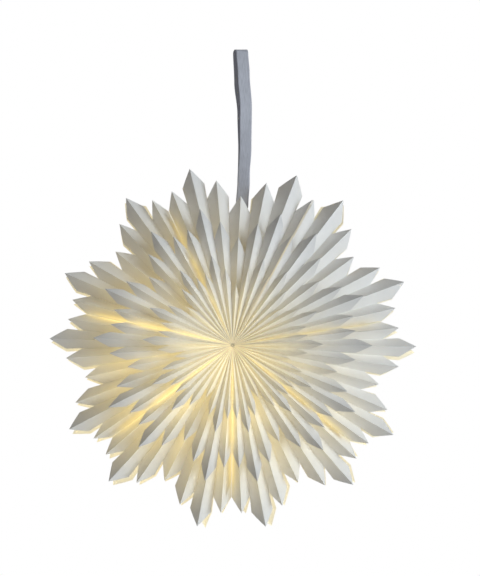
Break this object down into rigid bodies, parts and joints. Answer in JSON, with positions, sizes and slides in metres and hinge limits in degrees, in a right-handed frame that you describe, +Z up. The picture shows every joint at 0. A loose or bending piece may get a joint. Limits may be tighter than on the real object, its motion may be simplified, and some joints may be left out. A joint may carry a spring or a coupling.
{
  "type": "paper snowflake star",
  "caption": "Round pleated paper star with three rows of points on both faces, lit from inside, folding round its axis like a fan and hung from a ribbon loop.",
  "frame": {"origin": "inside of the ribbon loop's upper bend, where it rests on the hook", "axes": "+Z up, -Y out of the front face of the star, +X to the right seen from the front; the axis of the star is parallel to Y"},
  "size_m": [0.4498, 0.1376, 0.5919],
  "materials": {
    "pleated_paper": "matt, uncoated",
    "leaf_card": "matt",
    "cover_card": "matt",
    "magnet": "nickel plated",
    "ring_wire": "satin",
    "ribbon": "satin weave",
    "rivet": "polished",
    "light_housing": "moulded, matt",
    "switch": "moulded, matt",
    "diffuser": "translucent",
    "board": "solder mask",
    "led": "phosphor",
    "screw": "zinc plated",
    "cell": "polished",
    "contact": "bright"
  },
  "bodies": {
    "hanging_leaf": {"hanging_leaf": "leaf_card", "ribbon_loop": "ribbon", "ribbon_rivet": "rivet", "front_binding_ring": "ring_wire", "back_binding_ring": "ring_wire", "light_body": "light_housing", "light_lens": "diffuser", "led_board": "board", "led_beads": "led", "board_screws": "screw", "coin_cells": "cell", "contact_spring": "contact", "light_hanger": "light_housing"},
    "left_cover": {"left_cover": "cover_card", "left_magnets": "magnet", "front_pleats_14": "pleated_paper", "back_pleats_14": "pleated_paper"},
    "leaf_12": {"leaf_12": "leaf_card", "front_pleats_13": "pleated_paper", "back_pleats_13": "pleated_paper"},
    "leaf_11": {"leaf_11": "leaf_card", "front_pleats_12": "pleated_paper", "back_pleats_12": "pleated_paper"},
    "leaf_10": {"leaf_10": "leaf_card", "front_pleats_11": "pleated_paper", "back_pleats_11": "pleated_paper"},
    "leaf_09": {"leaf_09": "leaf_card", "front_pleats_10": "pleated_paper", "back_pleats_10": "pleated_paper"},
    "leaf_08": {"leaf_08": "leaf_card", "front_pleats_09": "pleated_paper", "back_pleats_09": "pleated_paper"},
    "leaf_07": {"leaf_07": "leaf_card", "front_pleats_08": "pleated_paper", "back_pleats_08": "pleated_paper"},
    "leaf_06": {"leaf_06": "leaf_card", "front_pleats_07": "pleated_paper", "back_pleats_07": "pleated_paper"},
    "leaf_05": {"leaf_05": "leaf_card", "front_pleats_06": "pleated_paper", "back_pleats_06": "pleated_paper"},
    "leaf_04": {"leaf_04": "leaf_card", "front_pleats_05": "pleated_paper", "back_pleats_05": "pleated_paper"},
    "leaf_03": {"leaf_03": "leaf_card", "front_pleats_04": "pleated_paper", "back_pleats_04": "pleated_paper"},
    "leaf_02": {"leaf_02": "leaf_card", "front_pleats_03": "pleated_paper", "back_pleats_03": "pleated_paper"},
    "leaf_01": {"leaf_01": "leaf_card", "front_pleats_02": "pleated_paper", "back_pleats_02": "pleated_paper"},
    "right_cover": {"right_cover": "cover_card", "right_magnets": "magnet", "front_pleats_01": "pleated_paper", "back_pleats_01": "pleated_paper"},
    "battery_cover": {"battery_cover": "light_housing"},
    "switch_slider": {"switch_slider": "switch"}
  },
  "joints": [
    {"name": "leaf_12_fold", "type": "hinge", "parent": "hanging_leaf", "child": "leaf_12", "pos_m": [-0.0112, 0, -0.37], "axis": [0, 1, 0], "range_deg": [0, 26.6], "stiffness_Nm_per_rad": 0.15, "springref_deg": -28.65, "deforming": ["front_pleats_13", "back_pleats_13"]},
    {"name": "leaf_11_fold", "type": "hinge", "parent": "leaf_12", "child": "leaf_11", "pos_m": [-0.0112, 0, -0.37], "axis": [0, 1, 0], "range_deg": [0, 24.11], "stiffness_Nm_per_rad": 0.15, "springref_deg": -28.65, "deforming": ["front_pleats_12", "back_pleats_12"]},
    {"name": "leaf_10_fold", "type": "hinge", "parent": "leaf_11", "child": "leaf_10", "pos_m": [-0.0112, 0, -0.37], "axis": [0, 1, 0], "range_deg": [0, 24.41], "stiffness_Nm_per_rad": 0.15, "springref_deg": -28.65, "deforming": ["front_pleats_11", "back_pleats_11"]},
    {"name": "leaf_09_fold", "type": "hinge", "parent": "leaf_10", "child": "leaf_09", "pos_m": [-0.0112, 0, -0.37], "axis": [0, 1, 0], "range_deg": [0, 22.91], "stiffness_Nm_per_rad": 0.15, "springref_deg": -28.65, "deforming": ["front_pleats_10", "back_pleats_10"]},
    {"name": "leaf_08_fold", "type": "hinge", "parent": "leaf_09", "child": "leaf_08", "pos_m": [-0.0112, 0, -0.37], "axis": [0, 1, 0], "range_deg": [0, 23.11], "stiffness_Nm_per_rad": 0.15, "springref_deg": -28.65, "deforming": ["front_pleats_09", "back_pleats_09"]},
    {"name": "leaf_07_fold", "type": "hinge", "parent": "leaf_08", "child": "leaf_07", "pos_m": [-0.0112, 0, -0.37], "axis": [0, 1, 0], "range_deg": [0, 24.41], "stiffness_Nm_per_rad": 0.15, "springref_deg": -28.65, "deforming": ["front_pleats_08", "back_pleats_08"]},
    {"name": "leaf_06_fold", "type": "hinge", "parent": "leaf_07", "child": "leaf_06", "pos_m": [-0.0112, 0, -0.37], "axis": [0, 1, 0], "range_deg": [0, 24.51], "stiffness_Nm_per_rad": 0.15, "springref_deg": -28.65, "deforming": ["front_pleats_07", "back_pleats_07"]},
    {"name": "leaf_05_fold", "type": "hinge", "parent": "leaf_06", "child": "leaf_05", "pos_m": [-0.0112, 0, -0.37], "axis": [0, 1, 0], "range_deg": [0, 24.31], "stiffness_Nm_per_rad": 0.15, "springref_deg": -28.65, "deforming": ["front_pleats_06", "back_pleats_06"]},
    {"name": "leaf_04_fold", "type": "hinge", "parent": "leaf_05", "child": "leaf_04", "pos_m": [-0.0112, 0, -0.37], "axis": [0, 1, 0], "range_deg": [0, 23.61], "stiffness_Nm_per_rad": 0.15, "springref_deg": -28.65, "deforming": ["front_pleats_05", "back_pleats_05"]},
    {"name": "leaf_03_fold", "type": "hinge", "parent": "leaf_04", "child": "leaf_03", "pos_m": [-0.0112, 0, -0.37], "axis": [0, 1, 0], "range_deg": [0, 22.41], "stiffness_Nm_per_rad": 0.15, "springref_deg": -28.65, "deforming": ["front_pleats_04", "back_pleats_04"]},
    {"name": "leaf_02_fold", "type": "hinge", "parent": "leaf_03", "child": "leaf_02", "pos_m": [-0.0112, 0, -0.37], "axis": [0, 1, 0], "range_deg": [0, 22.51], "stiffness_Nm_per_rad": 0.15, "springref_deg": -28.65, "deforming": ["front_pleats_03", "back_pleats_03"]},
    {"name": "leaf_01_fold", "type": "hinge", "parent": "leaf_02", "child": "leaf_01", "pos_m": [-0.0112, 0, -0.37], "axis": [0, 1, 0], "range_deg": [0, 25.01], "stiffness_Nm_per_rad": 0.15, "springref_deg": -28.65, "deforming": ["front_pleats_02", "back_pleats_02"]},
    {"name": "right_cover_fold", "type": "hinge", "parent": "leaf_01", "child": "right_cover", "pos_m": [-0.0112, 0, -0.37], "axis": [0, 1, 0], "range_deg": [0, 21.11], "stiffness_Nm_per_rad": 0.15, "springref_deg": -28.65, "deforming": ["front_pleats_01", "back_pleats_01"]},
    {"name": "left_cover_fold", "type": "hinge", "parent": "hanging_leaf", "child": "left_cover", "pos_m": [-0.0112, 0, -0.37], "axis": [0, -1, 0], "range_deg": [0, 22.11], "stiffness_Nm_per_rad": 0.15, "springref_deg": -28.65, "deforming": ["front_pleats_14", "back_pleats_14"]},
    {"name": "battery_cover_turn", "type": "hinge", "parent": "hanging_leaf", "child": "battery_cover", "pos_m": [-0.0112, 0.0131, -0.37], "axis": [0, 1, 0], "range_deg": [0, 60]},
    {"name": "switch_slide", "type": "slide", "parent": "hanging_leaf", "child": "switch_slider", "axis": [0, -1, 0], "range_m": [0, 0.0036]}
  ],
  "couplings": [
    {"joint": "leaf_11_fold", "follows": "leaf_12_fold", "ratio": 0.90602},
    {"joint": "leaf_10_fold", "follows": "leaf_12_fold", "ratio": 0.91729},
    {"joint": "leaf_09_fold", "follows": "leaf_12_fold", "ratio": 0.8609},
    {"joint": "leaf_08_fold", "follows": "leaf_12_fold", "ratio": 0.86842},
    {"joint": "leaf_07_fold", "follows": "leaf_12_fold", "ratio": 0.91729},
    {"joint": "leaf_06_fold", "follows": "leaf_12_fold", "ratio": 0.92105},
    {"joint": "leaf_05_fold", "follows": "leaf_12_fold", "ratio": 0.91353},
    {"joint": "leaf_04_fold", "follows": "leaf_12_fold", "ratio": 0.88722},
    {"joint": "leaf_03_fold", "follows": "leaf_12_fold", "ratio": 0.84211},
    {"joint": "leaf_02_fold", "follows": "leaf_12_fold", "ratio": 0.84586},
    {"joint": "leaf_01_fold", "follows": "leaf_12_fold", "ratio": 0.93985},
    {"joint": "right_cover_fold", "follows": "leaf_12_fold", "ratio": 0.79323},
    {"joint": "left_cover_fold", "follows": "leaf_12_fold", "ratio": 0.83083}
  ]
}
